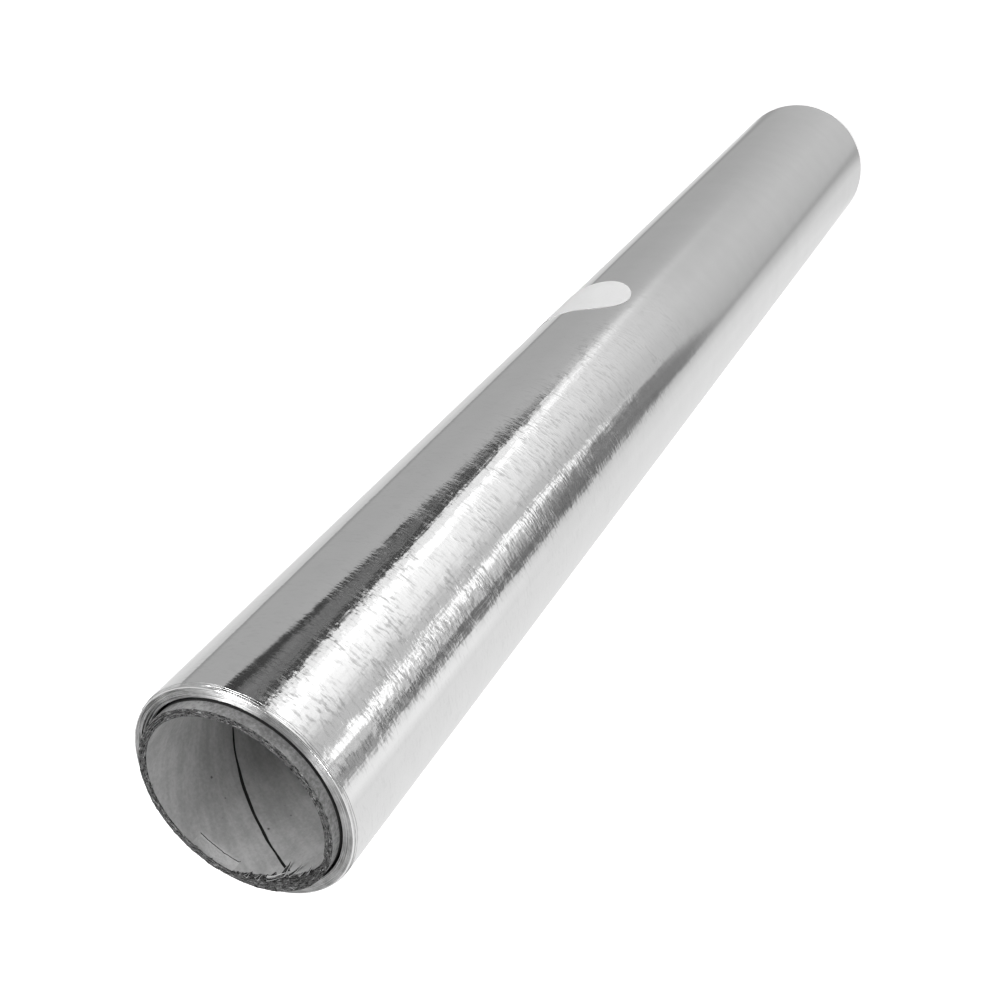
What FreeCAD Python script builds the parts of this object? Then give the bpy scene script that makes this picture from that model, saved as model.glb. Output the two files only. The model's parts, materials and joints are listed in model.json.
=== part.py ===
import FreeCAD, Part
import math
import os

# A roll of household aluminium foil: the foil is wound on a spirally made paperboard core,
# and a paper label with round ends holds its loose end down. Sizes are in millimetres.
# The roll stands on its core's end, with its axis along +Z and the origin at the base's centre.

# Foil
foil_width = 300.0
turns_build = 2.5
outer_turns_thickness = 0.16
outer_turns_setback = 0.8
loose_end_step = 0.1
loose_end_ramp_angle = 60.0
rim_radius = 0.35
end_gap_width = 0.45
end_gap_depth = 2.5
band_count = 5
band_step = 0.08

# Core
core_bore_radius = 15.6
core_wall = 1.3
core_overhang = 2.2
seam_pitch = 65.3
seam_width = 0.5
seam_depth = 0.35
seam_top_angle = 165.0
torn_ply_thickness = 0.45
torn_ply_depth = 2.0
torn_ply_angle = 158.0
torn_ply_half_angle = 42.0

# Label
label_width = 16.5
label_length = 46.0
label_thickness = 0.1
glue_thickness = 0.05
label_height = 155.4
label_tip_angle = -64.0

# Worked out
core_outer_radius = core_bore_radius + core_wall
core_length = foil_width + 2 * core_overhang
foil_low = core_overhang
foil_high = core_overhang + foil_width
foil_radius = core_outer_radius + turns_build
turns_body_radius = foil_radius - outer_turns_thickness
label_inner_radius = foil_radius + glue_thickness
label_outer_radius = label_inner_radius + label_thickness
label_turn = math.degrees(label_length / label_inner_radius)
label_round_turn = math.degrees(math.asin(label_width / 2 / label_inner_radius))
loose_end_angle = label_tip_angle + label_turn / 2

axis = FreeCAD.Vector(0, 0, 1)
cutter_margin = 1.0


def on_circle(radius, degrees, height):
    """A point at a radius and an angle about the roll's axis."""
    turn = math.radians(degrees)
    return FreeCAD.Vector(radius * math.cos(turn), radius * math.sin(turn), height)


def cylinder(radius, low, high):
    """An upright cylinder on the roll's axis."""
    return Part.makeCylinder(radius, high - low, FreeCAD.Vector(0, 0, low), axis)


def one_solid(shape):
    """The cleaned shape, which has to be a single solid."""
    clean = shape.removeSplitter()
    if len(clean.Solids) != 1:
        raise ValueError("a piece came out as %d solids" % len(clean.Solids))
    return clean.Solids[0]


def seam_groove():
    """The open helical seam between the edges of the core's inner ply."""
    low = -cutter_margin
    height = core_length + 2 * cutter_margin
    start_angle = seam_top_angle - 360 * (core_length - low) / seam_pitch
    path = Part.Wire(Part.makeHelix(seam_pitch, height, core_bore_radius).Edges)
    inner = core_bore_radius - seam_depth
    outer = core_bore_radius + seam_depth
    corners = [
        FreeCAD.Vector(inner, 0, -seam_width / 2),
        FreeCAD.Vector(outer, 0, -seam_width / 2),
        FreeCAD.Vector(outer, 0, seam_width / 2),
        FreeCAD.Vector(inner, 0, seam_width / 2),
    ]
    section = Part.makePolygon(corners + corners[:1])
    groove = path.makePipeShell([section], True, True)
    groove.rotate(FreeCAD.Vector(0, 0, 0), axis, start_angle)
    groove.translate(FreeCAD.Vector(0, 0, low))
    return groove


def torn_ply():
    """What is torn from the inner ply at the top: all of it above a sloping plane."""
    reach = math.cos(math.radians(torn_ply_half_angle))
    radius = core_bore_radius + torn_ply_thickness
    slope = torn_ply_depth / (core_bore_radius * (1 - reach))
    deepest = on_circle(core_bore_radius, torn_ply_angle, core_length - torn_ply_depth)
    downhill = on_circle(1, torn_ply_angle, 0)
    across = axis.cross(downhill)
    up_the_slope = FreeCAD.Vector(-downhill.x, -downhill.y, slope).normalize()
    normal = across.cross(up_the_slope)
    if normal.z < 0:
        normal = -normal
    side = 4 * core_outer_radius
    corners = [
        deepest + across * side + up_the_slope * side,
        deepest - across * side + up_the_slope * side,
        deepest - across * side - up_the_slope * side,
        deepest + across * side - up_the_slope * side,
    ]
    sheet = Part.Face(Part.makePolygon(corners + corners[:1]))
    above = sheet.extrude(normal * side)
    ply = cylinder(radius, core_length - 2 * torn_ply_depth, core_length + cutter_margin)
    return above.common(ply)


def make_core_tube():
    """The paperboard tube, with its inner seam and the torn ply at its top end."""
    tube = cylinder(core_outer_radius, 0, core_length)
    tube = tube.cut(cylinder(core_bore_radius, -cutter_margin, core_length + cutter_margin))
    tube = tube.cut(seam_groove())
    tube = tube.cut(torn_ply())
    return one_solid(tube)


def end_outline():
    """One end of the foil's turns, as points of radius and setback, from the core outwards."""
    inner = core_outer_radius + end_gap_width
    outer = turns_body_radius - rim_radius
    band_width = (outer - inner) / band_count
    points = [(core_outer_radius, end_gap_depth), (inner, end_gap_depth)]
    for band in range(band_count):
        setback = band_step * ((band_count - 1 - band) % 2)
        points.append((inner + band * band_width, setback))
        points.append((inner + (band + 1) * band_width, setback))
    return points


def turns_section():
    """Half of the section through the turns, in the plane of X and Z."""
    outline = end_outline()
    rim_start = FreeCAD.Vector(turns_body_radius - rim_radius, 0, 0)
    bevel = rim_radius * (1 - math.sqrt(0.5))
    rim_middle = FreeCAD.Vector(turns_body_radius - bevel, 0, bevel)
    rim_end = FreeCAD.Vector(turns_body_radius, 0, rim_radius)

    def placed(point, top):
        """A point of the outline at the top end or mirrored to the bottom end."""
        height = foil_high - point.z if top else foil_low + point.z
        return FreeCAD.Vector(point.x, 0, height)

    edges = []
    for top in (True, False):
        corners = [placed(FreeCAD.Vector(radius, 0, setback), top) for radius, setback in outline]
        edges += Part.makePolygon(corners).Edges
        rim = Part.Arc(placed(rim_start, top), placed(rim_middle, top), placed(rim_end, top))
        edges.append(rim.toShape())
    for radius, setback in ((core_outer_radius, end_gap_depth), (turns_body_radius, rim_radius)):
        corner = FreeCAD.Vector(radius, 0, setback)
        edges.append(Part.makeLine(placed(corner, True), placed(corner, False)))
    return Part.Face(Part.Wire(Part.__sortEdges__(edges)))


def outer_turns():
    """The last turns, whose loose end leaves a step along the roll under the label."""
    low = foil_low + outer_turns_setback
    high = foil_high - outer_turns_setback
    ramp_radius = foil_radius - loose_end_step
    ramp_end = loose_end_angle + loose_end_ramp_angle
    ramp_middle = loose_end_angle + loose_end_ramp_angle / 2
    opposite = (ramp_end + loose_end_angle + 360) / 2
    on_ramp = on_circle((foil_radius + ramp_radius) / 2, ramp_middle, low)
    foot = on_circle(ramp_radius, loose_end_angle, low)
    top = on_circle(foil_radius, loose_end_angle, low)
    joint = on_circle(foil_radius, ramp_end, low)
    outline = [
        Part.makeLine(top, foot),
        Part.Arc(foot, on_ramp, joint).toShape(),
        Part.Arc(joint, on_circle(foil_radius, opposite, low), top).toShape(),
    ]
    turns = Part.Face(Part.Wire(outline)).extrude(axis * (high - low))
    middle = (core_outer_radius + turns_body_radius) / 2
    return turns.cut(cylinder(middle, low - cutter_margin, high + cutter_margin))


def make_foil_winding():
    """All the turns of foil as one piece, tight on the core."""
    body = turns_section().revolve(FreeCAD.Vector(0, 0, 0), axis, 360)
    return one_solid(body.fuse(outer_turns()))


def make_closing_label():
    """The paper label, bent round the roll, with a half-round end each side of the loose end."""
    low = label_height - label_width / 2
    high = label_height + label_width / 2
    first = label_tip_angle + label_round_turn
    last = label_tip_angle + label_turn - label_round_turn
    base = FreeCAD.Vector(0, 0, low)
    skin = cylinder(label_outer_radius, low, high).cut(cylinder(label_inner_radius, low, high))
    straight = Part.makeCylinder(label_outer_radius, label_width, base, axis, last - first)
    straight.rotate(FreeCAD.Vector(0, 0, 0), axis, first)
    label = skin.common(straight)
    for angle in (first, last):
        heart = FreeCAD.Vector(0, 0, label_height)
        disc = Part.makeCylinder(label_width / 2, 2 * label_outer_radius, heart, on_circle(1, angle, 0))
        label = label.fuse(skin.common(disc))
    return one_solid(label)


os.makedirs("parts", exist_ok=True)
pieces = {
    "core_tube": make_core_tube(),
    "foil_winding": make_foil_winding(),
    "closing_label": make_closing_label(),
}
for name, solid in pieces.items():
    solid.exportStep("parts/" + name + ".step")
    print(name, "volume", round(solid.Volume, 1), "valid", solid.isValid())
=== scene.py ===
import json
import math
import bmesh
import bpy
import numpy as np
from mathutils import Matrix, Vector


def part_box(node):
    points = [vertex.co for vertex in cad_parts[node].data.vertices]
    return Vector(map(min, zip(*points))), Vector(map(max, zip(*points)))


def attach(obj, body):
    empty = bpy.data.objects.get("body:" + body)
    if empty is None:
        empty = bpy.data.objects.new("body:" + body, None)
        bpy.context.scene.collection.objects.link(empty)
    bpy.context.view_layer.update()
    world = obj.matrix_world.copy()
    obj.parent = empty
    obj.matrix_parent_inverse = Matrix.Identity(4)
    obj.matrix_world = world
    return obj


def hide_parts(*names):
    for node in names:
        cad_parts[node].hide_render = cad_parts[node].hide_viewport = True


# An aluminium foil roll: crinkled bright foil wound on a grey paperboard core whose cut end is
# rough and torn, with a white paper label over the loose end. Lengths are in metres in the
# scene, and in millimetres wherever a name or a value says mm.

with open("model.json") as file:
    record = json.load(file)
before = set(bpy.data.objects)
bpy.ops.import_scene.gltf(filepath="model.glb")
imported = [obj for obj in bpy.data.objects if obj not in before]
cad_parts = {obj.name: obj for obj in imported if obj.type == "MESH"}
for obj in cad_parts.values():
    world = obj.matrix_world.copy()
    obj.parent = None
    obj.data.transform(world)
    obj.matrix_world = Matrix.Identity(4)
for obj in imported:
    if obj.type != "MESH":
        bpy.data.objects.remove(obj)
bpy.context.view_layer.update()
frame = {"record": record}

MM = 0.001


def place(x, y, z):
    """A point given in millimetres."""
    return Vector((x * MM, y * MM, z * MM))


# Sizes from the frame
core_low, core_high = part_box("core_tube")
foil_low, foil_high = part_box("foil_winding")
bore = next(m for m in frame["record"]["mounts"] if m["name"] == "core_bore")
bore_radius = bore["dims"]["r_mm"] * MM
core_radius = core_high.x
foil_radius = -foil_low.x
roll_top = core_high.z
foil_base = foil_low.z
foil_top = foil_high.z

# Sizes of the foil's details
outer_layers = 3
outer_layers_thickness = 0.16 * MM
outer_layers_setback = 0.8 * MM
loose_end_step = 0.1 * MM
loose_end_ramp = math.radians(60)
rim_rounding = 0.22 * MM
end_bands = 5
end_gap_width = 0.45 * MM
end_gap_depth = 2.5 * MM

# Sizes of the core's details
seam_pitch = 65.3 * MM
seam_width = 0.5 * MM
seam_depth = 0.35 * MM
seam_top_angle = math.radians(165)
torn_depth = 2.0 * MM
torn_ply = 0.45 * MM
torn_angle = math.radians(158)
torn_half_angle = math.radians(42)
core_plies = 4
peel_height = 301.8 * MM

# Sizes of the label
label_width = 16.5 * MM
label_length = 46 * MM
label_lift = 0.03 * MM
label_thickness = 0.08 * MM
label_height = 155.4 * MM
label_tip = math.radians(-64)
loose_end = label_tip + label_length / 2 / (foil_radius + label_lift)


# Camera

def make_camera():
    """The photograph's view, from above the near end, rolled so that the roll runs up and right."""
    focal_px = 1403.6
    frame_px = 1001
    shift_px = (-0.3, 0.6)
    right = Vector((-0.74732, -0.50316, -0.43398))
    up = Vector((0.66446, -0.56626, -0.48769))
    back = right.cross(up)
    data = bpy.data.cameras.new("camera")
    data.sensor_width = 36
    data.lens = focal_px / frame_px * data.sensor_width
    data.shift_x = shift_px[0] / frame_px
    data.shift_y = shift_px[1] / frame_px
    data.clip_start = 0.01
    data.clip_end = 20
    camera = bpy.data.objects.new("camera", data)
    turn = Matrix((right, up, back)).transposed()
    camera.matrix_world = Matrix.Translation(place(0, -178.6, 421.16)) @ turn.to_4x4()
    bpy.context.scene.collection.objects.link(camera)
    bpy.context.scene.camera = camera


make_camera()


# Helpers for node trees

def fill(tree, node, inputs):
    """Puts plain values or links on a node's inputs."""
    for key, value in inputs.items():
        if isinstance(value, bpy.types.NodeSocket):
            tree.links.new(value, node.inputs[key])
        else:
            node.inputs[key].default_value = value


def add(tree, kind, inputs=None, **settings):
    """A node with its settings and with plain values or links on its inputs."""
    node = tree.nodes.new(kind)
    for key, value in settings.items():
        setattr(node, key, value)
    fill(tree, node, inputs or {})
    return node


def maths(tree, operation, *values):
    """The result of a Math node."""
    return add(tree, "ShaderNodeMath", dict(enumerate(values)), operation=operation).outputs[0]


def times(tree, first, second):
    """The product of two numbers."""
    return maths(tree, "MULTIPLY", first, second)


def times_add(tree, first, second, third):
    """The product of two numbers, added to a third."""
    return maths(tree, "MULTIPLY_ADD", first, second, third)


def separate(tree, vector):
    """The parts X, Y and Z of a vector."""
    return add(tree, "ShaderNodeSeparateXYZ", {"Vector": vector}).outputs


def combine(tree, x, y, z=0.0):
    """A vector from its parts."""
    return add(tree, "ShaderNodeCombineXYZ", {"X": x, "Y": y, "Z": z}).outputs[0]


def ramp_between(tree, value, low, high, first=0.0, last=1.0, kind="SMOOTHSTEP"):
    """A change from first to last as the value goes from low to high, with soft ends or linear."""
    inputs = {"Value": value, "From Min": low, "From Max": high, "To Min": first, "To Max": last}
    return add(tree, "ShaderNodeMapRange", inputs, interpolation_type=kind).outputs[0]


def mix_colour(tree, share, first, second, blend="MIX"):
    """A mix of two colours."""
    inputs = {0: share, 6: first, 7: second}
    return add(tree, "ShaderNodeMix", inputs, data_type="RGBA", blend_type=blend).outputs[2]


def mix_shaders(tree, share, first, second):
    """A mix of two shaders."""
    return add(tree, "ShaderNodeMixShader", {0: share, 1: first, 2: second}).outputs[0]


def grey(level):
    """A neutral colour."""
    return (level, level, level, 1)


def emit(tree, strength):
    """A plain white light on a surface."""
    return add(tree, "ShaderNodeEmission", {"Color": grey(1.0), "Strength": strength}).outputs[0]


def noise(tree, vector, scale, detail=2.0, roughness=0.5):
    """The value of a noise at a place, from 0 to 1."""
    inputs = {"Vector": vector, "Scale": scale, "Detail": detail, "Roughness": roughness}
    return add(tree, "ShaderNodeTexNoise", inputs).outputs[0]


def stretch(tree, vector, around, along):
    """Scales a place so that a pattern's cells are so long round the roll and along it."""
    inputs = {"Vector": vector, "Scale": (1 / around, 1 / around, 1 / along)}
    return add(tree, "ShaderNodeMapping", inputs).outputs[0]


def bump(tree, height, millimetres, strength):
    """A normal that follows a height from 0 to 1, which stands for so many millimetres."""
    inputs = {"Height": height, "Distance": millimetres * MM, "Strength": strength}
    return add(tree, "ShaderNodeBump", inputs).outputs[0]


def new_tree(name, kind, inputs, outputs, output_type="Float"):
    """A node group with named inputs and outputs. Each input is given by its value or its type."""
    tree = bpy.data.node_groups.new(name, kind)
    for label, value in inputs.items():
        given = {str: value, int: "Int", float: "Float"}[type(value)]
        socket = tree.interface.new_socket(label, in_out="INPUT", socket_type="NodeSocket" + given)
        if not isinstance(value, str):
            socket.default_value = value
    for label in outputs:
        tree.interface.new_socket(label, in_out="OUTPUT", socket_type="NodeSocket" + output_type)
    return tree, tree.nodes.new("NodeGroupInput").outputs, tree.nodes.new("NodeGroupOutput")


def use_group(tree, group, inputs):
    """The outputs of a shader group placed in a material or in another group."""
    return add(tree, "ShaderNodeGroup", inputs, node_tree=group).outputs


def clear_tree(owner, kind):
    """The emptied node tree of a material or a world, with a new output node."""
    owner.use_nodes = True
    tree = owner.node_tree
    tree.nodes.clear()
    return tree, tree.nodes.new(kind)


def new_material(name):
    """A material with its tree, its output and the place on the object."""
    material = bpy.data.materials.new(name)
    tree, output = clear_tree(material, "ShaderNodeOutputMaterial")
    where = tree.nodes.new("ShaderNodeTexCoord").outputs["Object"]
    return material, tree, output, where


def finish_material(tree, output, inputs):
    """Gives a material its Principled shader."""
    shader = add(tree, "ShaderNodeBsdfPrincipled", inputs)
    fill(tree, output, {"Surface": shader.outputs[0]})


# Shader groups

def handled_share(tree, angle):
    """How crinkled the foil is at an angle: two sectors of it have stayed nearly smooth."""
    degrees = times(tree, angle, 180 / math.pi)
    share = 1.0
    for middle, calm, lively in ((-26, 29, 43), (-151, 23, 31)):
        away = maths(tree, "ABSOLUTE", maths(tree, "SUBTRACT", degrees, middle))
        share = times(tree, ramp_between(tree, away, calm, lively, 0.12), share)
    return share


def make_polar_group():
    """A place as its distance from the roll's axis, its angle and its height."""
    outputs = ("Radius", "Angle", "Height")
    group, source, target = new_tree("round the roll", "ShaderNodeTree", {"Place": "Vector"}, outputs)
    parts = separate(group, source["Place"])
    flat = combine(group, parts["X"], parts["Y"])
    radius = add(group, "ShaderNodeVectorMath", {0: flat}, operation="LENGTH").outputs["Value"]
    angle = maths(group, "ARCTAN2", parts["Y"], parts["X"])
    fill(group, target, {"Radius": radius, "Angle": angle, "Height": parts["Z"]})
    return group


def make_crinkle_group():
    """The height of the foil's crinkles in millimetres, calm towards the roll's far end."""
    inputs = {
        "Place": "Vector",
        "Calm Below": 0.12,
        "Full Above": 0.25,
        "Calm Share": 0.05,
        "Strokes": 0.068,
        "Dimples": 0.032,
        "Creases": 0.025,
    }
    outputs = ("Height", "Strokes", "Handled")
    group, source, target = new_tree("foil crinkles", "ShaderNodeTree", inputs, outputs)
    place_in = source["Place"]
    rings = use_group(group, polar, {"Place": place_in})
    handled = handled_share(group, rings["Angle"])
    calm, full = source["Calm Below"], source["Full Above"]
    lively = times(group, ramp_between(group, rings["Height"], calm, full, source["Calm Share"]), handled)
    strokes = noise(group, stretch(group, place_in, 1.7 * MM, 0.52 * MM), 1.0, 2.0, 0.5)
    dimples = noise(group, stretch(group, place_in, 1.2 * MM, 1.3 * MM), 1.0, 1.0, 0.5)
    creases = noise(group, stretch(group, place_in, 0.9 * MM, 14 * MM), 1.0, 1.0, 0.5)
    patches = noise(group, stretch(group, place_in, 7 * MM, 6 * MM), 1.0, 2.0, 0.6)
    patchy = ramp_between(group, patches, 0.35, 0.62, 0.3, 1.05)
    total = times(group, strokes, source["Strokes"])
    total = times_add(group, dimples, source["Dimples"], total)
    total = times_add(group, creases, source["Creases"], times(group, total, patchy))
    # The stroke mask roughens the foil and darkens its colour: painted shade in the creases.
    stroke_shade_and_roughness = times(group, ramp_between(group, strokes, 0.5, 0.68), patchy)
    height = times(group, total, lively)
    fill(group, target, {"Height": height, "Strokes": times(group, stroke_shade_and_roughness, lively), "Handled": handled})
    return group


def make_paper_group():
    """Grey recycled board: mottled, with a few dark specks."""
    inputs = {"Place": "Vector", "Fibre Size": 0.0006, "Speck Size": 0.004}
    outputs = ("Mottle", "Specks", "Height")
    group, source, target = new_tree("recycled board", "ShaderNodeTree", inputs, outputs)
    place_in = source["Place"]
    fine = noise(group, place_in, maths(group, "DIVIDE", 1.0, source["Fibre Size"]), 4.0, 0.65)
    broad = noise(group, place_in, 160.0, 2.0, 0.5)
    mottle = times_add(group, fine, 0.5, times(group, broad, 0.5))
    speck_scale = maths(group, "DIVIDE", 1.0, source["Speck Size"])
    cells = add(group, "ShaderNodeTexVoronoi", {"Vector": place_in, "Scale": speck_scale})
    specks = ramp_between(group, cells.outputs["Distance"], 0.03, 0.075, 1.0, 0.0)
    fill(group, target, {"Mottle": mottle, "Specks": specks, "Height": fine})
    return group


polar = make_polar_group()
crinkles = make_crinkle_group()
board = make_paper_group()


# Materials

def drawn_metal(tree, amount):
    """What makes a surface a metal whose shine is drawn out along the roll by some amount."""
    tangent = add(tree, "ShaderNodeTangent", direction_type="RADIAL", axis="Z").outputs[0]
    return {"Metallic": 1.0, "Tangent": tangent, "Anisotropic": amount, "Anisotropic Rotation": 0.25}


def make_foil_material():
    """Bright rolled foil, whose fine rolling lines run round the roll, with its colour darkened along the
    crinkle strokes as painted shade in the creases.
    """
    material, tree, output, where = new_material("bright foil")
    surface = use_group(tree, crinkles, {"Place": where})
    cloud = noise(tree, stretch(tree, where, 9 * MM, 5 * MM), 1.0, 3.0, 0.6)
    unshaded_foil = mix_colour(tree, cloud, grey(0.9), grey(0.97))
    lines = noise(tree, stretch(tree, where, 30 * MM, 0.25 * MM), 1.0, 2.0, 0.6)
    worked = times_add(tree, surface["Handled"], 0.085, 0.03)
    smooth = times_add(tree, lines, 0.05, worked)
    finish_material(tree, output, {
        # Colour darkened along the crinkle strokes: painted shade in the creases.
        "Base Color": mix_colour(tree, times(tree, surface["Strokes"], 0.6), unshaded_foil, grey(0.45)),
        "Roughness": times_add(tree, surface["Strokes"], 0.2, smooth),
        "Normal": bump(tree, surface["Height"], 1, 1.0),
        **drawn_metal(tree, 0.6),
    })
    return material


def make_turn_edge_material():
    """The edges of the turns on the roll's end: fine concentric lines."""
    material, tree, output, where = new_material("edges of the turns")
    rings = use_group(tree, polar, {"Place": where})
    radius = times_add(tree, noise(tree, where, 90.0, 1.0, 0.5), 0.25 * MM, rings["Radius"])
    line_place = combine(tree, maths(tree, "DIVIDE", radius, 0.12 * MM), times(tree, rings["Angle"], 1.6))
    lines = noise(tree, line_place, 1.0, 3.0, 0.7)
    sectors = noise(tree, where, 330.0, 3.0, 0.6)
    tone = times_add(tree, sectors, 0.35, times(tree, lines, 0.65))
    colour = mix_colour(tree, ramp_between(tree, tone, 0.36, 0.6), grey(0.38), grey(0.84))
    away = maths(tree, "ABSOLUTE", maths(tree, "SUBTRACT", rings["Angle"], 0.6))
    near = ramp_between(tree, away, 0.55, 0.85, 1.0, 0.12)
    shadowed = times(tree, near, ramp_between(tree, lines, 0.42, 0.54, 1.0, 0.0))
    finish_material(tree, output, {
        "Base Color": mix_colour(tree, shadowed, colour, grey(0.06)),
        "Roughness": times_add(tree, lines, 0.12, 0.34),
        "Normal": bump(tree, lines, 0.02, 0.7),
        **drawn_metal(tree, 0.93),
    })
    return material


def make_shade_material(name, soot, low, high, roughness):
    """A nearly black surface that paints the shade where little light comes, given its noise's scale,
    detail and roughness.
    """
    material, tree, output, where = new_material(name)
    colour = mix_colour(tree, noise(tree, where, *soot), grey(low), grey(high))
    finish_material(tree, output, {"Base Color": colour, "Roughness": roughness})
    return material


def make_board_material():
    """The core's paper, inside and out, with faint streaks along the plies."""
    material, tree, output, where = new_material("core paper")
    paper = use_group(tree, board, {"Place": where})
    rings = use_group(tree, polar, {"Place": where})
    turns = times(tree, rings["Height"], 2 * math.pi / seam_pitch)
    phase = maths(tree, "SUBTRACT", turns, rings["Angle"])
    streak_place = combine(
        tree,
        times(tree, maths(tree, "COSINE", phase), 4.0),
        times(tree, maths(tree, "SINE", phase), 4.0),
        times(tree, rings["Height"], 110.0),
    )
    mottle = times(tree, paper["Mottle"], 0.62)
    tone = times_add(tree, noise(tree, streak_place, 1.0, 4.0, 0.65), 0.38, mottle)
    inside = mix_colour(tree, ramp_between(tree, tone, 0.36, 0.64), grey(0.34), grey(0.52))
    blotches = times_add(tree, noise(tree, where, 1500.0, 3.0, 0.7), 0.45, mottle)
    worn = mix_colour(tree, ramp_between(tree, blotches, 0.42, 0.66), grey(0.17), grey(0.34))
    outside = ramp_between(tree, rings["Radius"], core_radius - 0.6 * MM, core_radius - 0.3 * MM)
    plain = mix_colour(tree, outside, inside, worn)
    finish_material(tree, output, {
        "Base Color": mix_colour(tree, paper["Specks"], plain, grey(0.13)),
        "Roughness": 0.75,
        "Specular IOR Level": 0.3,
        "Normal": bump(tree, paper["Height"], 0.05, 0.6),
    })
    return material


def make_peeled_material(name, low, high):
    """Paper whose top layer is peeled or torn off: paler and softer."""
    material, tree, output, where = new_material(name)
    paper = use_group(tree, board, {"Place": where, "Fibre Size": 0.0004})
    mottle = ramp_between(tree, paper["Mottle"], 0.35, 0.65)
    finish_material(tree, output, {
        "Base Color": mix_colour(tree, mottle, grey(low), grey(high)),
        "Roughness": 0.85,
        "Normal": bump(tree, paper["Height"], 0.1, 0.7),
    })
    return material


def make_cut_material():
    """The core's cut and torn edges: dark, rough fibre in layers that follow the tube's wall."""
    material, tree, output, where = new_material("cut board")
    rings = use_group(tree, polar, {"Place": where})
    radius = times_add(tree, noise(tree, where, 420.0, 2.0, 0.5), 0.7 * MM, rings["Radius"])
    ply_place = combine(
        tree,
        maths(tree, "DIVIDE", radius, 0.16 * MM),
        times(tree, rings["Angle"], 15.0),
        maths(tree, "DIVIDE", rings["Height"], 0.22 * MM),
    )
    layers = noise(tree, ply_place, 1.0, 3.0, 0.6)
    fine = noise(tree, where, 3400.0, 3.0, 0.7)
    tone = times_add(tree, fine, 0.38, times(tree, layers, 0.62))
    dark = mix_colour(tree, ramp_between(tree, tone, 0.4, 0.55), grey(0.01), grey(0.16))
    crumbly = ramp_between(tree, noise(tree, where, 240.0, 2.0, 0.5), 0.4, 0.58)
    slivers = times(tree, ramp_between(tree, tone, 0.57, 0.61), crumbly)
    finish_material(tree, output, {
        "Base Color": mix_colour(tree, slivers, dark, grey(0.5)),
        "Roughness": 0.9,
        "Specular IOR Level": 0.2,
        "Normal": bump(tree, tone, 0.25, 1.0),
    })
    return material


def make_label_material():
    """Smooth white paper with a soft sheen."""
    material, tree, output, where = new_material("label paper")
    paper = use_group(tree, board, {"Place": where, "Fibre Size": 0.0009})
    finish_material(tree, output, {
        "Base Color": mix_colour(tree, paper["Mottle"], grey(0.78), grey(0.88)),
        "Roughness": 0.45,
        "Normal": bump(tree, paper["Height"], 0.012, 0.5),
    })
    return material


foil_material = make_foil_material()
turn_edge_material = make_turn_edge_material()
gap_material = make_shade_material("first turns in shade", (900.0, 2.0, 0.5), 0.015, 0.04, 0.8)
board_material = make_board_material()
cut_material = make_cut_material()
# Nearly black painted shade for the seam's groove, the core's outside under the foil, the peeled patch's
# ledge line and most torn flaps.
seam_and_gap_shade_material = make_shade_material("painted shade in seams and gaps", (1500.0, 3.0, 0.6), 0.01, 0.045, 0.9)
peeled_material = make_peeled_material("peeled paper", 0.43, 0.58)
fuzz_material = make_peeled_material("torn paper fuzz", 0.5, 0.68)
label_material = make_label_material()


# Helpers for meshes

def wander(angles, seed, waves, steepness=0.5):
    """A smooth closed random line round the roll, about from -1 to 1."""
    draw = np.random.RandomState(seed)
    total = np.zeros(len(angles))
    power = 0.0
    for count in range(1, waves + 1):
        size = count ** -steepness
        total += size * np.sin(count * angles + draw.uniform(0, 2 * math.pi)) * draw.uniform(0.5, 1.5)
        power += size * size
    return total / math.sqrt(power)


def frayed(count, seed, smoothing=1):
    """A rough closed random line round the roll, about from -1 to 1."""
    line = np.random.RandomState(seed).normal(0, 0.5, count)
    for _ in range(smoothing):
        line = (np.roll(line, 1) + 2 * line + np.roll(line, -1)) / 3
    return line


def window(angles, first, last, softness):
    """1 between two angles in degrees and 0 outside them, with soft ends."""
    middle = math.radians((first + last) / 2)
    half = math.radians((last - first) / 2)
    away = np.abs((angles - middle + math.pi) % (2 * math.pi) - math.pi)
    return np.clip((half - away) / math.radians(softness) + 0.5, 0, 1)


def link(mesh, name):
    """A new object for a mesh, at the origin."""
    piece = bpy.data.objects.new(name, mesh)
    bpy.context.scene.collection.objects.link(piece)
    return piece


def ring_points(radius, angles, height):
    """The points of a ring, where radius and height may change with the angle."""
    radius = np.broadcast_to(radius, angles.shape)
    height = np.broadcast_to(height, angles.shape)
    return np.stack([radius * np.cos(angles), radius * np.sin(angles), height], axis=1)


def mesh_from(name, points, faces, slots, materials, sharp=60):
    """A mesh with doubled points merged, a material for each face, and sharp edges kept sharp."""
    mesh = bpy.data.meshes.new(name)
    mesh.from_pydata(points, [], faces)
    for material in materials:
        mesh.materials.append(material)
    mesh.polygons.foreach_set("material_index", slots)
    work = bmesh.new()
    work.from_mesh(mesh)
    bmesh.ops.remove_doubles(work, verts=work.verts, dist=1e-7)
    bmesh.ops.dissolve_degenerate(work, edges=work.edges, dist=1e-8)
    work.to_mesh(mesh)
    work.free()
    mesh.shade_smooth()
    mesh.set_sharp_from_angle(angle=math.radians(sharp))
    return mesh


class Skin:
    """Rings stacked into one closed skin: up the outside, over the top, down the bore and round."""

    def __init__(self, angles):
        self.angles = angles
        self.points = []
        self.faces = []
        self.slots = []

    def add_ring(self, radius, height, slot):
        """Adds a ring and the band of faces that joins it to the ring before."""
        count = len(self.angles)
        start = len(self.points)
        self.points.extend(map(tuple, ring_points(radius, self.angles, height)))
        if start:
            self.join(start - count, start, slot)

    def join(self, before, after, slot):
        """A band of faces between two rings, with one slot or a slot for each face."""
        count = len(self.angles)
        slots = np.broadcast_to(slot, count)
        for i in range(count):
            k = (i + 1) % count
            self.faces.append((before + i, before + k, after + k, after + i))
            self.slots.append(int(slots[i]))

    def close(self, slot):
        """The band from the last ring to the first."""
        self.join(len(self.points) - len(self.angles), 0, slot)


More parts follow.
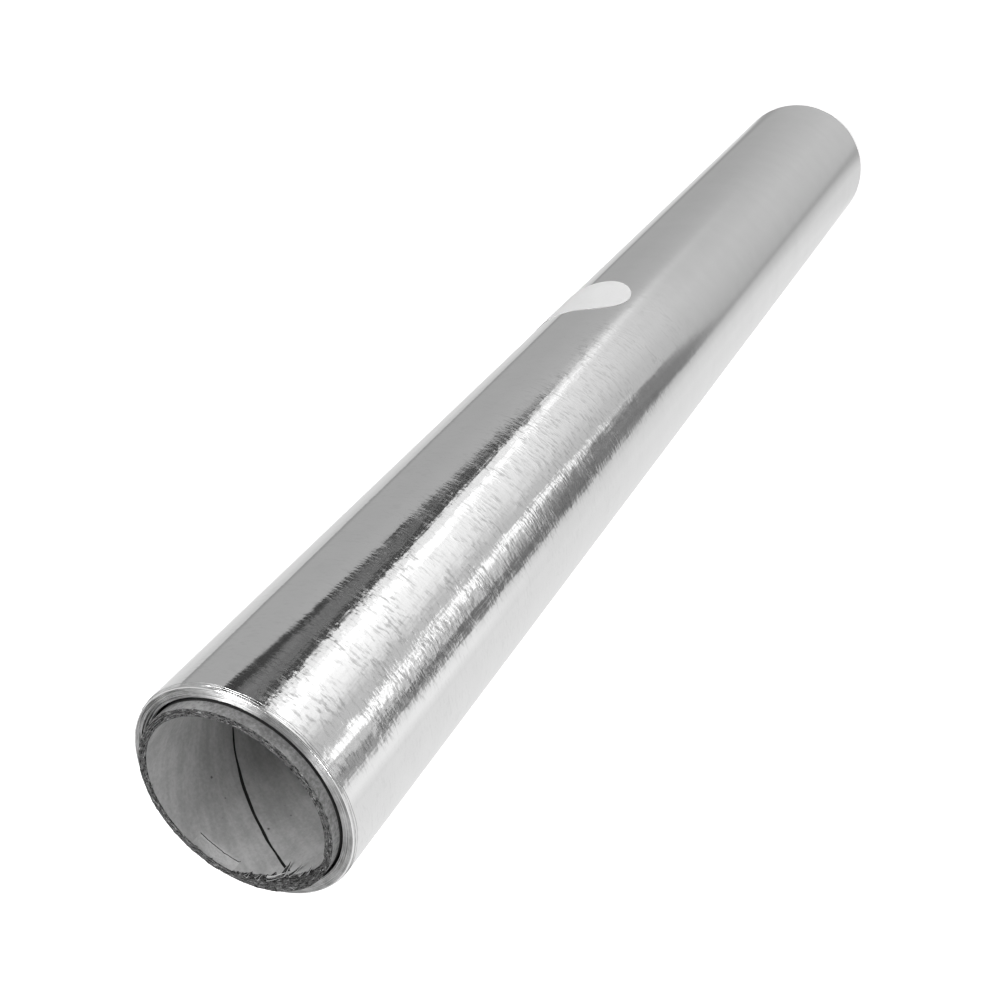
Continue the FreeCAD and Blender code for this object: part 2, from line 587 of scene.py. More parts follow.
# The foil

def foil_angles(count):
    """Angles round the roll from the loose end on, with a narrow last step at its edge."""
    angles = loose_end + np.arange(count) * (2 * math.pi / count)
    edge = math.radians(0.12)
    return np.append(angles, loose_end + 2 * math.pi - edge)


def foil_side_radius(angles):
    """The outside's radius, which drops at the loose end and grows back along the ramp."""
    turned = angles - loose_end
    share = np.clip(turned / loose_end_ramp, 0, 1)
    return foil_radius - loose_end_step * (1 - share)


def side_heights():
    """Heights of the rings up the side, closer together where the foil is crinkled."""
    low = foil_base + outer_layers_setback + 0.5 * MM
    high = foil_top - outer_layers_setback - 0.5 * MM
    middle = 0.14
    return np.concatenate([np.linspace(low, middle, 28), np.linspace(middle, high, 165)[1:]])


def end_rings(angles, seed):
    """One end from the side inwards, as radius, setback from the end face, and material."""
    body = foil_radius - outer_layers_thickness
    side = foil_side_radius(angles)
    count = len(angles)
    setbacks = (outer_layers_setback, 0.5 * MM, 0.27 * MM)
    rings = []
    for layer, base in enumerate(setbacks):
        outer = side + (body - side) * layer / outer_layers
        inner = side + (body - side) * (layer + 1) / outer_layers
        torn = 0.1 * MM * np.clip(wander(angles, seed + 30 + layer, 60, 0.1) - 0.6, 0, 1)
        setback = base + 0.1 * MM * wander(angles, seed + layer, 24, 0.6) + torn
        rings.append((outer, setback + 0.02 * MM, 0))
        rings.append((outer, setback, 0))
        rings.append((inner, setback, 1))
    telescoped = window(angles, -34, 46, 14)
    for step in range(1, 6):
        turn = step / 5 * math.pi / 2
        radius = body - rim_rounding * (1 - math.cos(turn))
        rings.append((radius, rim_rounding * (1 - math.sin(turn)), 0))
    inner = core_radius + end_gap_width * (1 - 0.8 * window(angles, -4, 110, 16))
    edges = np.linspace(body - rim_rounding, inner, 2 * end_bands + 1)
    for band in range(2 * end_bands):
        start, end = edges[band], edges[band + 1]
        drift = 0.012 * MM * wander(angles, seed + 60 + band, 9)
        slide = telescoped * (0.2 * MM * (1 + wander(angles, seed + 80 + band, 7)) * (band % 2))
        setback = 0.035 * MM * (band % 2) + np.abs(drift) + slide
        sway = 0.03 * MM * wander(angles, seed + 40 + band, 6)
        rings.append((start - 0.015 * MM + (sway if band else 0), setback, 1))
        rings.append(((start + end) / 2, setback + 0.01 * MM * frayed(count, seed + band, 2), 1))
        rings.append((end + 0.015 * MM, setback, 1))
    rings.append((inner, 0.05 * MM, 1))
    # The walls and bottom of the gap by the core take the nearly black painted shade.
    rings.append((inner - 0.01 * MM, 0.3 * MM, 2))
    rings.append((inner, end_gap_depth, 2))
    rings.append((core_radius + 0.03 * MM, end_gap_depth, 2))
    return rings


def crinkle_tree():
    """Geometry Nodes that crinkle the foil's side in and out, more towards the near end."""
    inputs = {
        "Geometry": "Geometry",
        "Depth": 0.05 * MM,
        "Around": 9 * MM,
        "Along": 3.2 * MM,
        "Calm Below": 0.13,
        "Full Above": 0.2,
        "Side Radius": 0.0193,
    }
    outputs = ("Geometry",)
    tree, source, target = new_tree("crinkle the side", "GeometryNodeTree", inputs, outputs, "Geometry")
    parts = separate(tree, tree.nodes.new("GeometryNodeInputPosition").outputs[0])
    flat = combine(tree, parts["X"], parts["Y"])
    radius = add(tree, "ShaderNodeVectorMath", {0: flat}, operation="LENGTH").outputs["Value"]
    outward = add(tree, "ShaderNodeVectorMath", {0: flat}, operation="NORMALIZE").outputs[0]
    cell = combine(
        tree,
        maths(tree, "DIVIDE", parts["X"], source["Around"]),
        maths(tree, "DIVIDE", parts["Y"], source["Around"]),
        maths(tree, "DIVIDE", parts["Z"], source["Along"]),
    )
    swell = maths(tree, "SUBTRACT", noise(tree, cell, 1.0, 2.0, 0.5), 0.6)
    lively = ramp_between(tree, parts["Z"], source["Calm Below"], source["Full Above"], 0.12)
    handled = handled_share(tree, maths(tree, "ARCTAN2", parts["Y"], parts["X"]))
    move = times(tree, times(tree, swell, times(tree, lively, handled)), source["Depth"])
    compared = {"A": radius, "B": source["Side Radius"]}
    on_side = add(tree, "FunctionNodeCompare", compared, data_type="FLOAT", operation="GREATER_THAN")
    offset = add(tree, "ShaderNodeVectorMath", {0: outward, "Scale": move}, operation="SCALE")
    moved = add(tree, "GeometryNodeSetPosition", {
        "Geometry": source["Geometry"],
        "Selection": on_side.outputs[0],
        "Offset": offset.outputs[0],
    })
    fill(tree, target, {0: moved.outputs[0]})
    return tree


def apply_tree(piece, tree, values):
    """Runs a Geometry Nodes tree with named values and keeps the result as a plain mesh."""
    modifier = piece.modifiers.new(tree.name, "NODES")
    modifier.node_group = tree
    for item in tree.interface.items_tree:
        if item.in_out == "INPUT" and item.name in values:
            modifier[item.identifier] = values[item.name]
    bpy.context.view_layer.update()
    graph = bpy.context.evaluated_depsgraph_get()
    made = bpy.data.meshes.new_from_object(piece.evaluated_get(graph))
    piece.modifiers.remove(modifier)
    made.name = piece.name
    piece.data = made
    return piece


def make_foil():
    """All the turns of foil, as one skin from the outside over both ends to the core."""
    angles = foil_angles(340)
    skin = Skin(angles)
    side = foil_side_radius(angles)
    for height in side_heights():
        skin.add_ring(side, height, 0)
    for radius, setback, slot in end_rings(angles, 11):
        skin.add_ring(radius, foil_top - setback, slot)
    for radius, setback, slot in reversed(end_rings(angles, 47)):
        skin.add_ring(radius, foil_base + setback, slot)
    skin.close(0)
    materials = [foil_material, turn_edge_material, gap_material]
    mesh = mesh_from("foil_turns", skin.points, skin.faces, skin.slots, materials, 35)
    piece = link(mesh, "foil_turns")
    limit = foil_radius - outer_layers_thickness
    return apply_tree(piece, crinkle_tree(), {"Side Radius": limit + 0.01 * MM})


# The core

def torn_share(angles):
    """How far the inner ply is torn off at an angle, from 0 to 1."""
    limit = math.cos(torn_half_angle)
    return np.clip((np.cos(angles - torn_angle) - limit) / (1 - limit), 0, 1)


def seam_offsets():
    """Rings over one pitch, as height from the seam's middle, depth in the groove and 1 at its bottom."""
    half = seam_width / 2
    lip = 0.05 * MM
    rows = [(half + lip, 0, 0), (half, 0, 0), (half, seam_depth, 1), (-half, seam_depth, 1)]
    rows += [(-half, 0, 1), (-half - lip, 0, 0)]
    plain = 6
    for step in range(1, plain):
        rows.append((-seam_pitch * step / plain, 0, 0))
    return rows


def cut_end(angles, inner, seed):
    """A cut end of the tube from outside to inside, ply by ply, as radius and drop from the end."""
    count = len(angles)
    wall = core_radius - inner
    rows = [(core_radius - 0.03 * MM, 0.16 * MM + 0.03 * MM * frayed(count, seed + 1))]
    for ply in range(core_plies):
        outer = core_radius - wall * ply / core_plies
        own = 0.13 * MM * np.abs(wander(angles, seed + 10 + ply, 40, 0.3))
        for share, sunk in ((0.08, 0.07), (0.3, 0.0), (0.55, 0.0), (0.8, 0.03), (0.96, 0.2)):
            rough = 0.07 * MM * np.abs(frayed(count, seed + 20 + 7 * ply + int(10 * share)))
            drop = own + sunk * MM * (1 + 0.6 * frayed(count, seed + 70 + ply, 3)) + rough
            weave = 0.02 * MM * frayed(count, seed + 90 + ply, 2)
            rows.append((outer - wall / core_plies * share + weave, np.maximum(drop, 0)))
    return rows


def make_core():
    """The paperboard tube, open right through, with its seam, cut ends and torn inner ply."""
    count = 640
    angles = seam_top_angle - np.arange(count) * (2 * math.pi / count)
    angles = angles[::-1]
    skin = Skin(angles)
    zone_depth = 3.2 * MM
    top_zone = roll_top - zone_depth

    outer_rows = list(np.linspace(0.16 * MM, foil_base, 5)) + [foil_base + 3 * MM]
    outer_rows += [foil_top - 3 * MM, foil_top + 0.08 * MM]
    outer_rows += list(np.linspace(foil_top + 0.2 * MM, roll_top - 0.2 * MM, 9))
    for row, height in enumerate(outer_rows):
        dent = 0.025 * MM * np.abs(wander(angles, 100 + row // 3, 20, 0.4))
        # From the foil's base to just above its top the core's outside takes the nearly black painted
        # shade, a painted shadow line where the core leaves the foil.
        hidden = foil_base < height < foil_top + 0.1 * MM
        near_end = min(height, roll_top - height) < 3 * MM
        skin.add_ring(core_radius - (dent if near_end else 0), height, 2 if hidden else 0)

    torn = torn_share(angles)
    gone = np.clip(torn * 12, 0, 1) * torn_ply
    inner = bore_radius + gone
    for radius, drop in cut_end(angles, inner, 200):
        skin.add_ring(radius, roll_top - drop, 1)
    nicks = np.clip(frayed(count, 33, 2) - 0.35, 0, 1) * 0.9 * MM * window(angles, 95, 175, 10)
    tear = torn_depth * torn + 0.15 * MM + (0.28 * MM * np.abs(frayed(count, 34))) * (torn > 0) + nicks
    for step in range(1, 9):
        share = step / 8
        fray = 0.06 * MM * frayed(count, 400 + step) * (torn > 0.05)
        skin.add_ring(inner + fray, roll_top - 0.12 * MM - tear * share, 1)
    start = roll_top - 0.12 * MM - tear - np.where(torn > 0, 0.05 * MM, 0.02 * MM)
    curl = 0.05 * MM * np.abs(frayed(count, 35, 2)) * (torn > 0)
    skin.add_ring(bore_radius - curl, start, 1)
    peeled = window(angles, 87, 116, 2)
    on_peel = peeled > 0.5
    peel_slope = 0.012 * MM * np.degrees(angles - math.radians(88))
    peel_edge = peel_height + peel_slope + 0.03 * MM * frayed(count, 36, 4)
    for step in range(1, 11):
        height = start + (top_zone - start) * step / 10
        if step in (7, 8):
            height = np.where(on_peel, peel_edge + (0.055 if step == 7 else -0.055) * MM, height)
        above = 0.09 * MM * peeled if step < 8 else 0
        # Inside the peeled patch the thin band of step 8 takes the nearly black painted shade: a painted
        # shadow line along the ledge.
        slot = 3 if step < 8 else 2 if step == 8 else 0
        skin.add_ring(bore_radius + above, height, np.where(on_peel, slot, 0))

    helical_bore(skin, angles, zone_depth, top_zone)
    for height in np.linspace(zone_depth, 0.16 * MM, 6)[1:]:
        skin.add_ring(bore_radius, height, 0)
    for radius, drop in reversed(cut_end(angles, bore_radius + 0 * angles, 700)):
        skin.add_ring(radius, drop, 1)
    skin.close(1)
    materials = [board_material, cut_material, seam_and_gap_shade_material, peeled_material]
    mesh = mesh_from("core_board", skin.points, skin.faces, skin.slots, materials)
    return link(mesh, "core_board")


def helical_bore(skin, angles, low, high):
    """The bore between two heights, in rows that follow the open seam down, with a plain last ring."""
    count = len(angles)
    turned = (seam_top_angle - angles) / (2 * math.pi)
    rows = seam_offsets()
    blocks = int((high - low) / seam_pitch) + 3
    grid = np.zeros((blocks * len(rows), count), int)
    kinds = []
    for block in range(blocks):
        run = turned + block
        for index, (offset, depth, slot) in enumerate(rows):
            edge = np.sign(offset) if abs(offset) < seam_width else 0
            sway = 0.05 * np.sin(31 * run + 1.3 * edge) + 0.035 * np.sin(83 * run + 2.1 * edge)
            widened = edge * (0.02 + 0.04 * np.sin(23 * run) + 0.04 * np.sin(129 * run + edge))
            height = roll_top - (run - 1) * seam_pitch + offset + (sway + widened) * MM
            inside = (height < high) & (height > low)
            radius = bore_radius + np.where(inside, depth, 0)
            start = len(skin.points)
            skin.points.extend(map(tuple, ring_points(radius, angles, np.clip(height, low, high))))
            grid[block * len(rows) + index] = start + np.arange(count)
            # Faces in the seam's groove take the nearly black painted shade.
            kinds.append(2 if slot else 0)
    for row in range(len(grid) - 1):
        upper, lower = grid[row], grid[row + 1]
        quads = list(zip(upper, upper[1:], lower[1:], lower))
        shifted = row + len(rows)
        if shifted + 1 < len(grid):
            quads.append((grid[shifted, -1], upper[0], lower[0], grid[shifted + 1, -1]))
        for quad in quads:
            skin.faces.append(tuple(int(corner) for corner in quad))
            skin.slots.append(kinds[row + 1])
    skin.points.extend(map(tuple, ring_points(bore_radius, angles, low)))


# Loose fibres and torn flaps

def fibre_tree():
    """Geometry Nodes that stand thin curved paper fibres on points round the cut end."""
    inputs = {
        "Geometry": "Geometry",
        "Length": 0.9 * MM,
        "Width": 0.1 * MM,
        "Thickness": 0.035 * MM,
        "Heading": 1.6,
        "Swing": 0.9,
        "Droop": 0.5,
        "Seed": 5,
        "Material": "Material",
    }
    tree, source, target = new_tree("loose fibres", "GeometryNodeTree", inputs, ("Geometry",), "Geometry")
    parts = separate(tree, tree.nodes.new("GeometryNodeInputPosition").outputs[0])
    length = source["Length"]
    bend = add(tree, "GeometryNodeCurveQuadraticBezier", {
        "Resolution": 5,
        "Start": (0, 0, 0),
        "Middle": combine(tree, times(tree, length, 0.45), 0.0, times(tree, length, 0.3)),
        "End": combine(tree, length, 0.0, times(tree, length, 0.1)),
    })
    along = tree.nodes.new("GeometryNodeSplineParameter").outputs["Factor"]
    taper = maths(tree, "SUBTRACT", 1.0, maths(tree, "POWER", along, 1.6))
    taper = maths(tree, "MAXIMUM", taper, 0.05)
    tapered = add(tree, "GeometryNodeSetCurveRadius", {"Curve": bend.outputs[0], "Radius": taper})
    flat_sides = {"Width": source["Width"], "Height": source["Thickness"]}
    outline = add(tree, "GeometryNodeCurvePrimitiveQuadrilateral", flat_sides)
    strand = add(tree, "GeometryNodeCurveToMesh", {
        "Curve": tapered.outputs[0],
        "Profile Curve": outline.outputs[0],
        "Scale": taper,
        "Fill Caps": True,
    })

    def spread(low, high, offset):
        """A random value for each point."""
        limits = {2: low, 3: high, "Seed": maths(tree, "ADD", source["Seed"], offset)}
        return add(tree, "FunctionNodeRandomValue", limits, data_type="FLOAT").outputs[1]

    swing = spread(times(tree, source["Swing"], -1.0), source["Swing"], 1)
    droop = spread(times(tree, source["Droop"], -0.2), source["Droop"], 2)
    outwards = maths(tree, "ARCTAN2", parts["Y"], parts["X"])
    heading = maths(tree, "ADD", maths(tree, "ADD", outwards, source["Heading"]), swing)
    placed = add(tree, "GeometryNodeInstanceOnPoints", {
        "Points": add(tree, "GeometryNodeMeshToPoints", {"Mesh": source["Geometry"]}).outputs[0],
        "Instance": strand.outputs[0],
        "Rotation": combine(tree, spread(-1.2, 1.2, 3), droop, heading),
        "Scale": spread(0.35, 1.25, 4),
    })
    real = add(tree, "GeometryNodeRealizeInstances", {"Geometry": placed.outputs[0]}).outputs[0]
    dressed = add(tree, "GeometryNodeSetMaterial", {"Geometry": real, "Material": source["Material"]})
    fill(tree, target, {0: dressed.outputs[0]})
    return tree


def make_fibres(name, seed, places, values, material):
    """Loose fibres at random places: so many in each range of angles, radii and depths."""
    draw = np.random.RandomState(seed)
    points = []
    for count, first, last, low, high, shallow, deep in places:
        for _ in range(count):
            angle = math.radians(draw.uniform(first, last))
            radius = draw.uniform(low, high) * MM
            height = roll_top - draw.uniform(shallow, deep) * MM
            points.append((radius * math.cos(angle), radius * math.sin(angle), height))
    mesh = bpy.data.meshes.new(name)
    mesh.from_pydata(points, [], [])
    piece = link(mesh, name)
    piece = apply_tree(piece, fibre_tree(), dict(values, Material=material))
    piece.data.shade_smooth()
    return piece


def make_flaps():
    """Tongues of the torn inner ply that hang into the bore: the faces of most carry the nearly black
    painted shade, one is dark cut fibre and one pale, and their torn edges are pale.
    """
    flaps = (
        (145.4, 302.3, 2.8, 86, 1.15, 0.5, 2),
        (150.6, 302.2, 2.9, 40, 0.95, 0.6, 2),
        (136.6, 303.0, 3.3, 19, 0.4, 0.3, 3),
        (138.0, 303.5, 3.2, 18, 0.6, 0.2, 2),
        (131.4, 303.9, 1.1, 66, 0.8, 0.2, 2),
        (124.6, 304.1, 0.9, 70, 0.7, 0.15, 2),
        (160.0, 302.5, 1.4, 30, 0.6, 0.3, 1),
        (167.5, 303.0, 1.7, 62, 0.8, 0.4, 2),
    )
    steps = 9
    points = []
    faces = []
    slots = []
    for angle, height, length, heading, width, curl, face_slot in flaps:
        turn = math.radians(heading)
        start = len(points)
        for step in range(steps + 1):
            share = step / steps
            middle = length * share
            half = width / 2 * (1 - share ** 1.5) + 0.015
            lift = 0.02 + curl * share * share
            wobble = 0.05 * math.sin(9 * share + angle)
            for across, raised in ((-1, 0), (-1, 1), (-0.78, 1), (0.78, 1), (1, 1), (1, 0)):
                along = middle * math.cos(turn) + (across * half + wobble) * math.sin(turn)
                down = middle * math.sin(turn) - (across * half + wobble) * math.cos(turn)
                r = bore_radius - (lift + raised * 0.06) * MM
                phi = math.radians(angle) + along * MM / bore_radius
                points.append((r * math.cos(phi), r * math.sin(phi), (height - down) * MM))
        for step in range(steps):
            a = start + 6 * step
            for side in range(6):
                b = (side + 1) % 6
                faces.append((a + side, a + b, a + 6 + b, a + 6 + side))
                # Side 2 is the face toward the bore; slot 2 there is the nearly black painted shade.
                slots.append(face_slot if side == 2 else 3)
        faces.append(tuple(start + side for side in range(5, -1, -1)))
        faces.append(tuple(start + 6 * steps + side for side in range(6)))
        slots += [3, 3]
    materials = [board_material, cut_material, seam_and_gap_shade_material, fuzz_material]
    mesh = mesh_from("torn_flaps", points, faces, slots, materials, 40)
    work = bmesh.new()
    work.from_mesh(mesh)
    bmesh.ops.recalc_face_normals(work, faces=work.faces)
    work.to_mesh(mesh)
    work.free()
    return link(mesh, "torn_flaps")


# The label

def make_label():
    """The paper label, bent round the roll, with half-round ends."""
    inner_radius = foil_radius + label_lift
    outer_radius = inner_radius + label_thickness
    half = label_width / 2
    straight = label_length / 2 - half
    tail = straight + half * np.cos(np.linspace(-math.pi / 2, 0, 15))
    head = -tail[::-1]
    middle = np.linspace(-straight, straight, 40)[1:-1]
    arcs = np.concatenate([head, middle, tail])
    beyond = np.maximum(np.abs(arcs) - straight, 0)
    widths = np.sqrt(np.maximum(half * half - beyond * beyond, 0))
    angles = loose_end + arcs / inner_radius
    rows = 14
    shares = np.linspace(-1, 1, rows)
    points = []
    for radius in (outer_radius, inner_radius):
        for angle, width in zip(angles, widths):
            for share in shares:
                lift = 0.015 * MM * math.sin(7 * angle + 2 * share) * share * share * width / half
                r = radius + lift
                z = label_height + width * share
                points.append((r * math.cos(angle), r * math.sin(angle), z))
    columns = len(angles)
    layer = columns * rows
    faces = []
    for i in range(columns - 1):
        for j in range(rows - 1):
            a = i * rows + j
            b = (i + 1) * rows + j
            faces.append((a, b, b + 1, a + 1))
            faces.append((layer + a, layer + a + 1, layer + b + 1, layer + b))
        for j, flip in ((0, False), (rows - 1, True)):
            a = i * rows + j
            b = (i + 1) * rows + j
            side = (a, layer + a, layer + b, b)
            faces.append(side[::-1] if flip else side)
    mesh = mesh_from("paper_label", points, faces, [0] * len(faces), [label_material])
    return link(mesh, "paper_label")


# The studio

def make_floor_material():
    """A pale floor: white to the camera, and lit as a studio sweep where metal mirrors it."""
    material, tree, output, where = new_material("studio floor")
    mirrored = emit(tree, use_group(tree, studio, {"Place": where})["Tone"])
    diffuse = add(tree, "ShaderNodeBsdfDiffuse", {"Color": grey(0.82)}).outputs[0]
    lit = add(tree, "ShaderNodeAddShader", {0: diffuse, 1: emit(tree, 0.6)}).outputs[0]
    away = use_group(tree, polar, {"Place": where})["Radius"]
    white = mix_shaders(tree, ramp_between(tree, away, 0.5, 1.6), lit, emit(tree, 1.0))
    path = tree.nodes.new("ShaderNodeLightPath").outputs
    by_camera = mix_shaders(tree, path["Is Camera Ray"], diffuse, white)
    by_gloss = mix_shaders(tree, path["Is Glossy Ray"], by_camera, mirrored)
    fill(tree, output, {"Surface": by_gloss})
    return material


def by_stops(tree, value, stops, low, high):
    """A tone that changes with a value from low to high, by stops of value and tone."""
    span = high - low
    share = times_add(tree, value, 1 / span, -low / span)
    ramp = add(tree, "ShaderNodeValToRGB", {"Fac": share})
    elements = ramp.color_ramp.elements
    while len(elements) < len(stops):
        elements.new(0.5)
    for element, (at, level) in zip(elements, stops):
        element.position = (at - low) / span
        element.color = grey(level)
    return ramp.outputs["Color"]


def by_angle(tree, angle, stops):
    """A tone that changes with the direction round the roll, by stops in degrees."""
    return by_stops(tree, times(tree, angle, 180 / math.pi), stops, -180, 180)


def beyond_line(tree, parts, first, second):
    """The distance to a line on the table through two points in millimetres, on its far side."""
    along = (place(*second, 0) - place(*first, 0)).normalized()
    shifted = maths(tree, "SUBTRACT", parts["X"], first[0] * MM)
    raised = maths(tree, "SUBTRACT", parts["Y"], first[1] * MM)
    return times_add(tree, raised, along.x, times(tree, shifted, -along.y))


def make_studio_group():
    """The studio's brightness on the table: light behind the roll, greyer in front of it."""
    inputs = {"Place": "Vector", "Edge Softness": 0.002, "Glow Start": 0.09, "Glow Full": 0.3}
    group, source, target = new_tree("studio tone", "ShaderNodeTree", inputs, ("Tone",))
    parts = separate(group, source["Place"])
    rings = use_group(group, polar, {"Place": source["Place"]})
    angle = rings["Angle"]
    far = rings["Radius"]
    by_roll = beyond_line(group, parts, (22, -2), (71, 46.5))
    right_side = maths(group, "MAXIMUM", by_roll, beyond_line(group, parts, (71, 46.5), (255, 179)))
    leftwards = {"X": maths(group, "MINIMUM", parts["X"], 0.0), "Y": parts["Y"]}
    left_side = beyond_line(group, leftwards, (-370, -171.5), (-10, -15.5))
    depth = maths(group, "MINIMUM", right_side, left_side)
    share = maths(group, "DIVIDE", depth, maths(group, "SUBTRACT", far, 0.012))
    by_right = by_stops(
        group,
        share,
        ((0, 0.46), (0.06, 0.54), (0.12, 0.61), (0.25, 0.67), (0.47, 0.7), (0.6, 0.76), (0.72, 0.82),
         (0.9, 0.88), (1.05, 0.9), (2.5, 0.92)),
        0,
        2.5,
    )
    by_left = by_stops(
        group,
        share,
        ((0, 0.46), (0.22, 0.58), (0.45, 0.67), (0.75, 0.68), (1.15, 0.69), (1.5, 0.7), (1.85, 0.77),
         (2.1, 0.82), (2.4, 0.86)),
        0,
        2.5,
    )
    near_tone = mix_colour(group, ramp_between(group, parts["X"], -0.01, 0.01), by_left, by_right)
    far_tone = by_angle(
        group,
        angle,
        ((-180, 0.74), (-165, 0.69), (-150, 0.5), (30, 0.5), (35, 0.58), (49, 0.64), (58, 0.69), (74, 0.79),
         (80, 0.82), (95, 0.86), (104, 0.82), (118, 0.79), (135, 0.78), (151, 0.77), (167, 0.75)),
    )
    behind = mix_colour(group, 1.0, near_tone, far_tone, "LIGHTEN")
    patch = by_angle(group, angle, ((-180, 0), (-177, 0), (-167, 1), (-160, 1), (-152, 0)))
    patch = times(group, patch, ramp_between(group, far, 0.18, 0.32, 0.0, 0.17))
    behind = maths(group, "ADD", behind, patch)
    front = by_angle(
        group,
        angle,
        ((-180, 0.42), (-150, 0.42), (-110, 0.53), (-86, 0.55), (-26, 0.42), (-4, 0.395), (40, 0.39)),
    )
    glow_share = by_angle(
        group,
        angle,
        ((-180, 0), (-108, 0), (-93, 0.7), (-81, 1), (-69, 1), (-60, 0.5), (-48, 0)),
    )
    glow = ramp_between(group, far, source["Glow Start"], source["Glow Full"], kind="LINEAR")
    front = times_add(group, times(group, glow_share, glow), 0.5, front)
    halo = by_angle(
        group,
        angle,
        ((-180, 0), (-80, 0), (-64, 0.3), (-57, 0.6), (-54, 1), (-50, 1), (-46, 0.35), (-38, 0)),
    )
    reach = by_stops(group, far, ((0, 0), (0.05, 0), (0.1, 0.08), (0.145, 0.42), (0.3, 0.3)), 0, 0.3)
    front = times_add(group, halo, reach, front)
    near_edge = maths(group, "DIVIDE", depth, maths(group, "ADD", far, 0.01))
    front = times(group, front, ramp_between(group, near_edge, -0.13, -0.02, 1.0, 0.76))
    soft = source["Edge Softness"]
    inside = ramp_between(group, depth, times(group, soft, -1.0), soft)
    fill(group, target, {"Tone": mix_colour(group, inside, front, behind)})
    return group


def make_floor():
    """A large flat floor, just under the roll."""
    mesh = bpy.data.meshes.new("floor")
    size = 6.0
    corners = [(-size, -size, 0), (size, -size, 0), (size, size, 0), (-size, size, 0)]
    mesh.from_pydata(corners, [], [(0, 1, 2, 3)])
    mesh.materials.append(make_floor_material())
    floor = link(mesh, "floor")


def make_card(name, corners, strength, height=0.5, uneven=0.35):
    """A flat, unevenly lit card just over the floor that only metal mirrors, sized in millimetres."""
    material, tree, output, where = new_material(name)
    rings = use_group(tree, polar, {"Place": where})
    swept = combine(tree, times(tree, rings["Angle"], 0.07), rings["Radius"])
    stains = ramp_between(tree, noise(tree, swept, 110.0, 3.0, 0.7), 0.38, 0.62, 1 - uneven, 1 + uneven)
    fill(tree, output, {"Surface": emit(tree, times(tree, stains, strength))})
    mesh = bpy.data.meshes.new(name)
    mesh.from_pydata([place(x, y, height) for x, y in corners], [], [tuple(range(len(corners)))])
    mesh.materials.append(material)
    card = link(mesh, name)
    card.visible_camera = False
    card.visible_diffuse = False
    card.visible_shadow = False
    card.visible_transmission = False


def make_cards():
    """Dark and bright cards on the table, which give the foil its bands."""
    make_card(
        "dark_card_right",
        [
            (103, -121), (600, -930), (1500, -1000), (1500, -60), (405, -95), (359, -120), (318, -127),
            (253, -127), (195, -127), (146, -124),
        ],
        0.05,
    )
    make_card(
        "grey_card_right",
        [
            (174, -170), (216, -222), (296, -300), (560, -570), (1400, -900), (1400, -260), (382, -176),
            (263, -160), (212, -156),
        ],
        0.165,
        0.7,
        0.45,
    )
    make_card(
        "bright_strip",
        [(84, -118), (89, -118), (106, -190), (158, -384), (320, -1000), (90, -1000), (87, -135)],
        1.35,
        0.6,
        0.05,
    )
    make_card(
        "dark_card_left",
        [
            (-132, -72), (-384, -175), (-1150, -510), (-900, -900), (-294, -300), (-253, -206),
            (-203, -170), (-158, -168), (-132, -160),
        ],
        0.125,
        uneven=0.6,
    )
    make_card("worn_card_left", [(-350, -160), (-1150, -520), (-800, -700), (-292, -240)], 0.36, 0.6, 0.6)
    make_card(
        "grey_card_left",
        [(-78, -60), (-95, -53), (-138, -73), (-138, -164), (-121, -162), (-79, -130), (-74, -98)],
        0.19,
        0.6,
        0.5,
    )
    make_card(
        "pale_card_left",
        [
            (-166, -154), (-222, -172), (-262, -204), (-330, -262), (-700, -570), (-700, -760),
            (-285, -302), (-228, -252), (-160, -192), (-138, -172),
        ],
        0.6,
        0.8,
    )
    make_card(
        "bright_stripe",
        [
            (-92, -151), (-106, -166), (-128, -188), (-158, -207), (-218, -264), (-272, -306), (-640, -760),
            (-560, -900), (-224, -338), (-186, -290), (-114, -219), (-99, -192), (-87, -163), (-84, -153),
        ],
        1.3,
        1.0,
        0.15,
    )


def make_lamp(name, at, size, power, mirrored=True, lighting=True):
    """A soft lamp aimed at the roll's upper half, which metal may mirror and which may light paper."""
    data = bpy.data.lights.new(name, "AREA")
    data.shape = "DISK"
    data.size = size
    data.energy = power
    lamp = bpy.data.objects.new(name, data)
    aim = Vector((0, 0, 0.2))
    spot = Vector(at)
    turn = (spot - aim).to_track_quat("Z", "Y").to_matrix().to_4x4()
    lamp.matrix_world = Matrix.Translation(spot) @ turn
    lamp.visible_diffuse = lighting
    lamp.visible_glossy = mirrored
    bpy.context.scene.collection.objects.link(lamp)


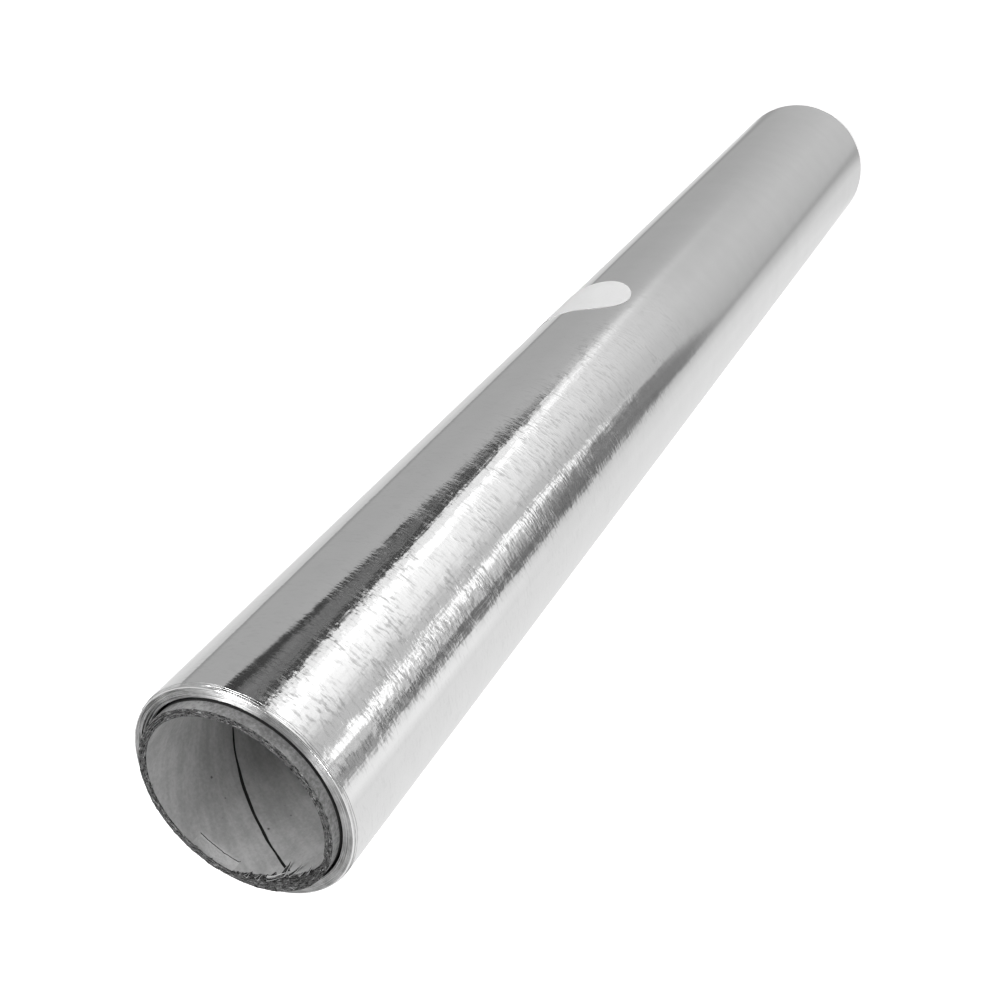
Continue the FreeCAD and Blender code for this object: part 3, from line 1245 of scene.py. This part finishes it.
def make_world():
    """An even soft sky: white to the camera, with the studio's bands where metal mirrors it."""
    world = bpy.data.worlds.new("studio")
    bpy.context.scene.world = world
    tree, output = clear_tree(world, "ShaderNodeOutputWorld")
    parts = separate(tree, tree.nodes.new("ShaderNodeTexCoord").outputs["Generated"])
    azimuth = maths(tree, "ARCTAN2", parts["Y"], parts["X"])
    tone = by_angle(
        tree,
        azimuth,
        ((-180, 0.75), (-160, 0.62), (-148, 0.5), (-143, 0.12), (-124, 0.1), (-120, 0.85), (-100, 0.5),
         (-82, 0.95), (-66, 1), (-60, 0.1), (-20, 0.12), (-16, 0.42), (30, 0.4), (34, 0.55),
         (62, 0.66), (78, 0.5), (85, 0.2), (95, 0.2), (102, 0.5), (111, 0.8), (135, 0.78), (180, 0.75)),
    )
    above = by_angle(
        tree,
        azimuth,
        ((-180, 0.85), (-150, 0.5), (-110, 0.16), (-20, 0.2), (15, 0.6), (40, 0.75), (76, 0.75), (84, 0.14),
         (96, 0.14), (104, 0.85), (135, 0.9), (180, 0.85)),
    )
    overhead = ramp_between(tree, parts["Z"], 0.2, 0.55)
    mirror_tone = mix_colour(tree, overhead, tone, above)
    soft, mirrored, white = (
        add(tree, "ShaderNodeBackground", {"Color": grey(1.0), "Strength": strength}).outputs[0]
        for strength in (0.42, mirror_tone, 1.0)
    )
    path = tree.nodes.new("ShaderNodeLightPath").outputs
    by_gloss = mix_shaders(tree, path["Is Glossy Ray"], soft, mirrored)
    by_camera = mix_shaders(tree, path["Is Camera Ray"], by_gloss, white)
    fill(tree, output, {"Surface": by_camera})


studio = make_studio_group()
make_floor()
make_cards()
make_world()
make_lamp("key_lamp", (0.79, -0.3, 1.15), 0.5, 6.5)
make_lamp("front_lamp", (0.15, -1.3, 0.75), 0.9, 5, mirrored=False)
make_lamp("side_lamp", (-0.9, 0.1, 1.2), 0.9, 6.5, mirrored=False)
make_lamp("ring_lamp", (0.7, 0, 1.27), 0.34, 4.6, lighting=False)
make_lamp("top_lamp", (-0.34, 0, 1.45), 0.2, 1.2, lighting=False)
bpy.context.scene.view_settings.view_transform = "Standard"


# The pieces on the roll's body

foil = make_foil()
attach(foil, "root")
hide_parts("foil_winding")

core = make_core()
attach(core, "root")
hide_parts("core_tube")

edge_places = (
    (150, 0, 360, 15.7, 16.8, 0.1, 0.25),
    (120, 112, 208, 15.9, 16.3, 0.3, 1.2),
)
edge_values = {
    "Length": 0.7 * MM,
    "Width": 0.1 * MM,
    "Thickness": 0.03 * MM,
    "Swing": 0.5,
    "Droop": 0.3,
    "Seed": 3,
}
edge_fibres = make_fibres("edge_fibres", 21, edge_places, edge_values, cut_material)
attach(edge_fibres, "root")

flaps = make_flaps()
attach(flaps, "root")

label = make_label()
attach(label, "root")
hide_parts("closing_label")
